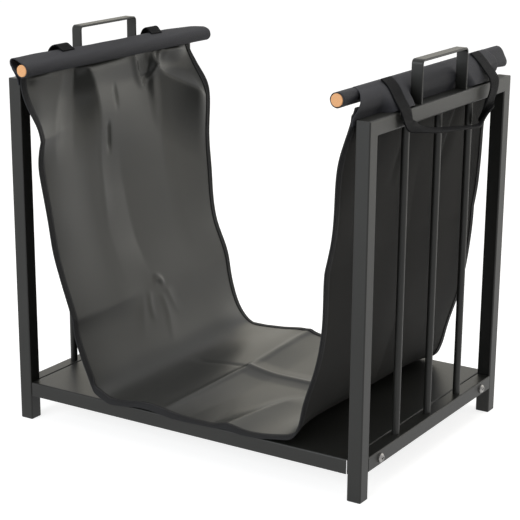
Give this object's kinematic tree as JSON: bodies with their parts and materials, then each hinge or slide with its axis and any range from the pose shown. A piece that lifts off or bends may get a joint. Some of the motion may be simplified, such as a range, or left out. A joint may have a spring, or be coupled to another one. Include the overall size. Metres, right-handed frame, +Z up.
{
  "type": "firewood rack with bag",
  "caption": "Free-standing steel firewood rack with barred end frames, folded tray and lifting handles, holding a lift-out cloth sling with wooden dowels and webbing straps.",
  "frame": {"origin": "on the floor, under the middle of the rack", "axes": "+X along the rack from the left end frame to the right one, +Y from front to back, +Z up"},
  "size_m": [0.606, 0.432, 0.54],
  "materials": {
    "powder_coat": "satin powder coat",
    "zinc": "bright zinc plate",
    "foot_plastic": "matte",
    "coated_cloth": "coated, soft sheen",
    "sleeve_cloth": "plain weave, matte",
    "binding_tape": "ribbed tape, matte",
    "webbing": "woven webbing, matte",
    "wood": "bare, sanded"
  },
  "bodies": {
    "rack": {"left_front_post": "powder_coat", "left_back_post": "powder_coat", "left_top_rail": "powder_coat", "left_bottom_rail": "powder_coat", "left_front_bar": "powder_coat", "left_middle_bar": "powder_coat", "left_back_bar": "powder_coat", "left_lifting_handle": "powder_coat", "right_front_post": "powder_coat", "right_back_post": "powder_coat", "right_top_rail": "powder_coat", "right_bottom_rail": "powder_coat", "right_front_bar": "powder_coat", "right_middle_bar": "powder_coat", "right_back_bar": "powder_coat", "right_lifting_handle": "powder_coat", "base_tray": "powder_coat", "tray_bolts": "zinc", "tray_weld_nuts": "zinc", "foot_plugs": "foot_plastic"},
    "bag": {"bag_panel": "coated_cloth", "left_dowel_sleeve": "sleeve_cloth", "right_dowel_sleeve": "sleeve_cloth", "front_edge_binding": "binding_tape", "back_edge_binding": "binding_tape"},
    "left_strap": {"left_carry_strap": "webbing"},
    "right_strap": {"right_carry_strap": "webbing"},
    "left_rod": {"left_dowel": "wood"},
    "right_rod": {"right_dowel": "wood"}
  },
  "joints": [
    {"name": "bag_lift", "type": "slide", "parent": "rack", "child": "bag", "axis": [0, 0, 1], "range_m": [0, 0.5]},
    {"name": "left_strap_swing", "type": "hinge", "parent": "bag", "child": "left_strap", "pos_m": [-0.2498, 0, 0.507], "axis": [0, 1, 0], "range_deg": [0, 150]},
    {"name": "right_strap_swing", "type": "hinge", "parent": "bag", "child": "right_strap", "pos_m": [0.2498, 0, 0.511], "axis": [0, -1, 0], "range_deg": [0, 125]},
    {"name": "left_dowel_pull", "type": "slide", "parent": "bag", "child": "left_rod", "axis": [0, -1, 0], "range_m": [0, 0.46]},
    {"name": "right_dowel_pull", "type": "slide", "parent": "bag", "child": "right_rod", "axis": [0, -1, 0], "range_m": [0, 0.46]}
  ]
}
